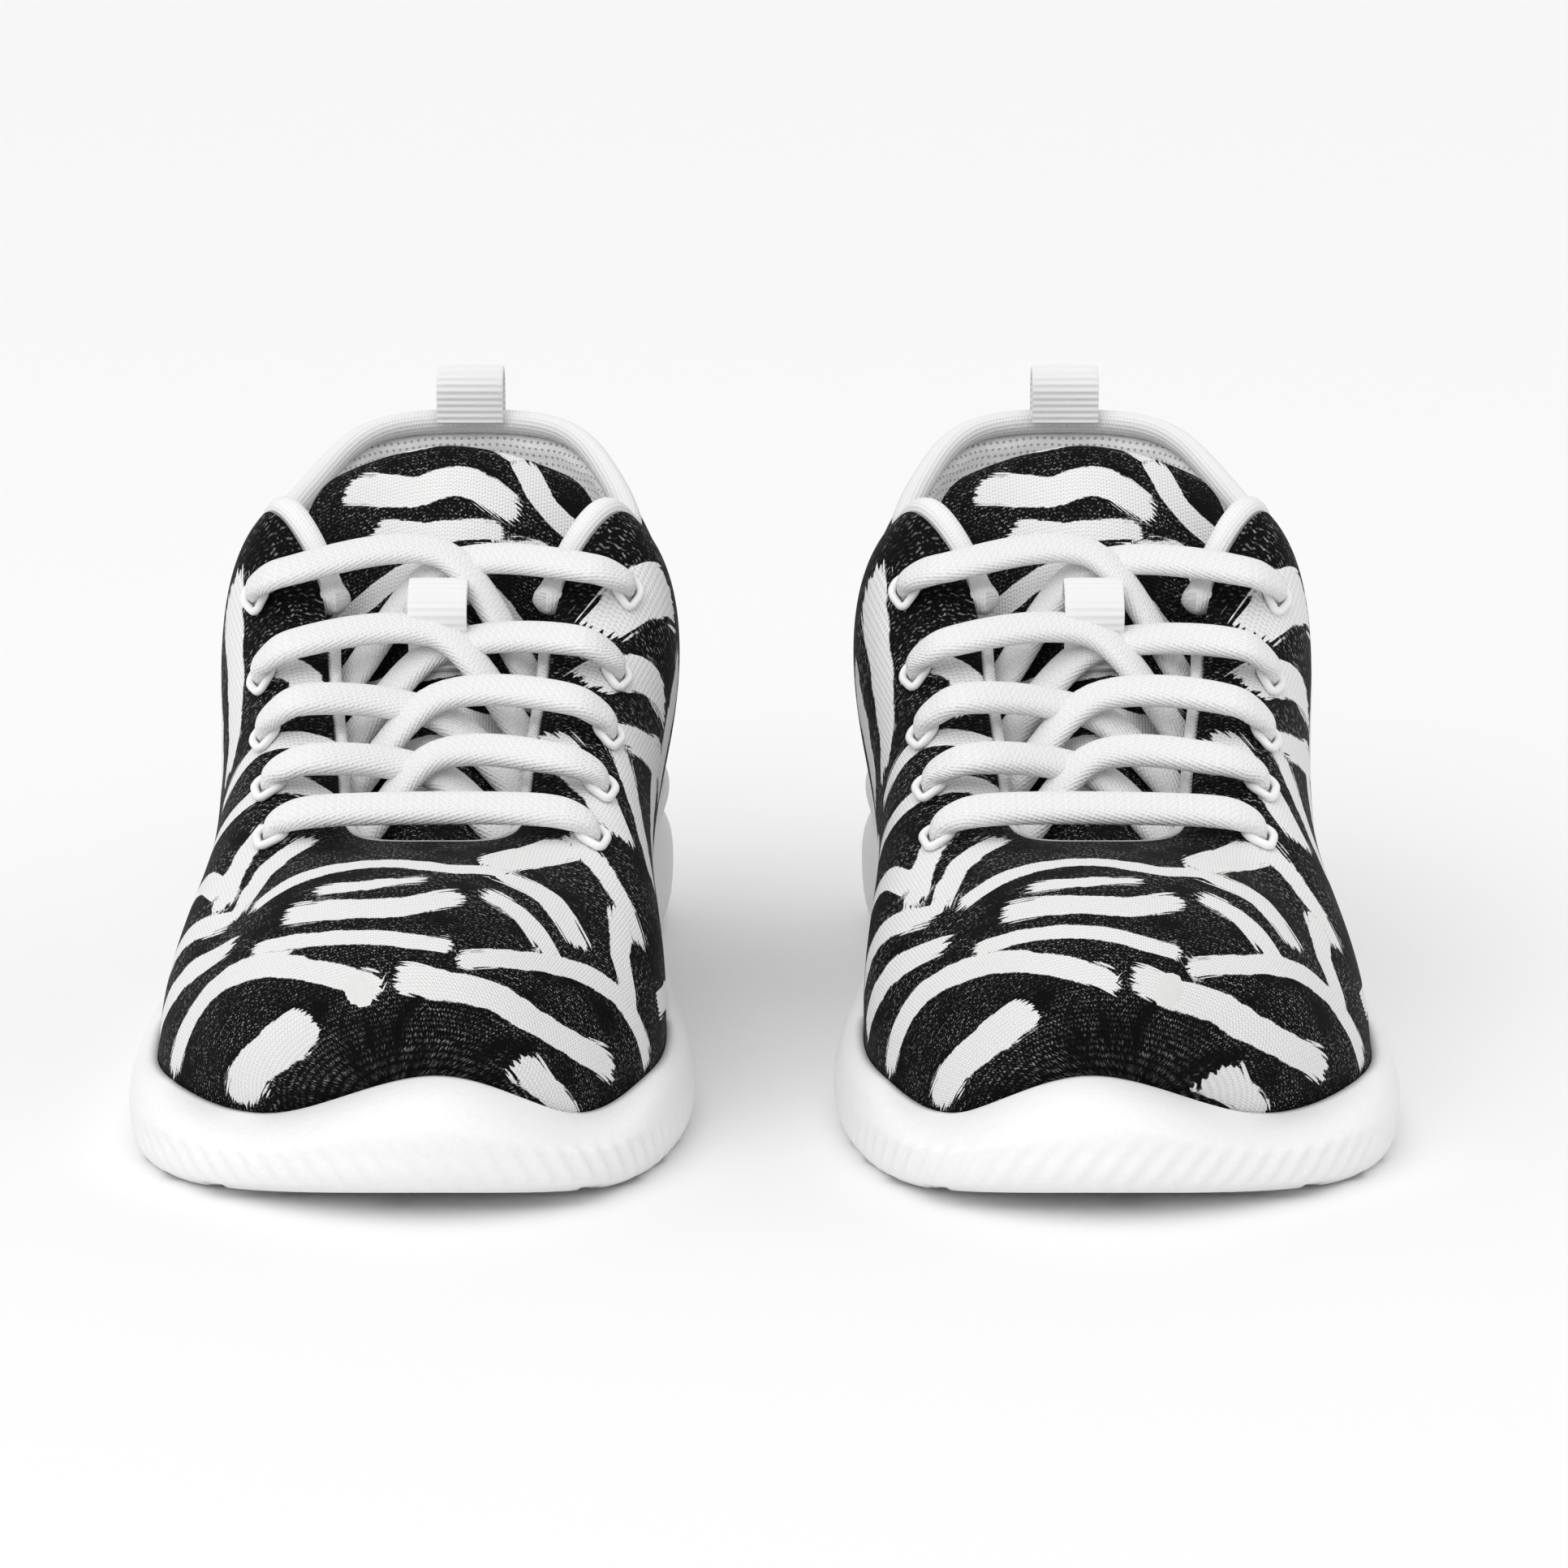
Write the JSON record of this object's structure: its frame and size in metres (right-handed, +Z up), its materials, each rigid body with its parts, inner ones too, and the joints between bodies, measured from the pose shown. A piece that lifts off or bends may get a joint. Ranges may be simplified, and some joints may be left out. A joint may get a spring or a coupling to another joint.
{
  "type": "cheer shoes",
  "caption": "Pair of low lace-up cheer shoes: foam soles, patterned knit uppers, padded collars, criss-cross laces through moulded eyelets and webbing heel loops.",
  "frame": {"origin": "on the ground, midway between the two shoes and midway along them", "axes": "+Z up, toes towards -Y, wearer's left shoe at +X and right shoe at -X"},
  "size_m": [0.2324, 0.2723, 0.1158],
  "materials": {
    "sole_foam": "matte",
    "board": "matte",
    "insole_foam": "matte",
    "printed_knit": "matte",
    "stiffener": "matte",
    "lining_mesh": "matte",
    "padding": "matte",
    "white_knit": "matte",
    "eyelet_plastic": "satin",
    "lace_weave": "matte",
    "aglet_plastic": "gloss",
    "webbing": "matte"
  },
  "bodies": {
    "right_shoe": {"right_sole_unit": "sole_foam", "right_lasting_board": "board", "right_upper": "printed_knit", "right_toe_puff": "stiffener", "right_heel_counter": "stiffener", "right_eyestay_backing": "stiffener", "right_vamp_lining": "lining_mesh", "right_collar_foam": "padding", "right_collar_lining": "lining_mesh", "right_collar_binding": "white_knit", "right_throat_piping": "white_knit", "right_eyelets": "eyelet_plastic", "right_lace": "lace_weave", "right_aglets": "aglet_plastic"},
    "right_tongue": {"right_tongue_panel": "printed_knit", "right_tongue_foam": "padding", "right_tongue_lining": "lining_mesh", "right_lace_keeper": "webbing"},
    "right_insole": {"right_sockliner": "insole_foam"},
    "right_tab": {"right_pull_tab": "webbing"},
    "left_shoe": {"left_sole_unit": "sole_foam", "left_lasting_board": "board", "left_upper": "printed_knit", "left_toe_puff": "stiffener", "left_heel_counter": "stiffener", "left_eyestay_backing": "stiffener", "left_vamp_lining": "lining_mesh", "left_collar_foam": "padding", "left_collar_lining": "lining_mesh", "left_collar_binding": "white_knit", "left_throat_piping": "white_knit", "left_eyelets": "eyelet_plastic", "left_lace": "lace_weave", "left_aglets": "aglet_plastic"},
    "left_tongue": {"left_tongue_panel": "printed_knit", "left_tongue_foam": "padding", "left_tongue_lining": "lining_mesh", "left_lace_keeper": "webbing"},
    "left_insole": {"left_sockliner": "insole_foam"},
    "left_tab": {"left_pull_tab": "webbing"}
  },
  "joints": [
    {"name": "right_tongue_bend", "type": "hinge", "parent": "right_shoe", "child": "right_tongue", "pos_m": [-0.0635, -0.064, 0.044], "axis": [1, 0, 0], "range_deg": [-1, 0], "stiffness_Nm_per_rad": 0.5},
    {"name": "right_insole_lift", "type": "hinge", "parent": "right_shoe", "child": "right_insole", "pos_m": [-0.0635, -0.11, 0.0125], "axis": [1, 0, 0], "range_deg": [0, 1.5]},
    {"name": "right_tab_fold", "type": "hinge", "parent": "right_shoe", "child": "right_tab", "pos_m": [-0.0635, 0.1192, 0.1045], "axis": [1, 0, 0], "range_deg": [-30, 30], "stiffness_Nm_per_rad": 0.01},
    {"name": "left_tongue_bend", "type": "hinge", "parent": "left_shoe", "child": "left_tongue", "pos_m": [0.0635, -0.064, 0.044], "axis": [1, 0, 0], "range_deg": [-1, 0], "stiffness_Nm_per_rad": 0.5},
    {"name": "left_insole_lift", "type": "hinge", "parent": "left_shoe", "child": "left_insole", "pos_m": [0.0635, -0.11, 0.0125], "axis": [1, 0, 0], "range_deg": [0, 1.5]},
    {"name": "left_tab_fold", "type": "hinge", "parent": "left_shoe", "child": "left_tab", "pos_m": [0.0635, 0.1192, 0.1045], "axis": [1, 0, 0], "range_deg": [-30, 30], "stiffness_Nm_per_rad": 0.01},
    {"name": "left_shoe_lift", "type": "slide", "parent": "right_shoe", "child": "left_shoe", "axis": [0, 0, 1], "range_m": [0, 0.2]}
  ]
}
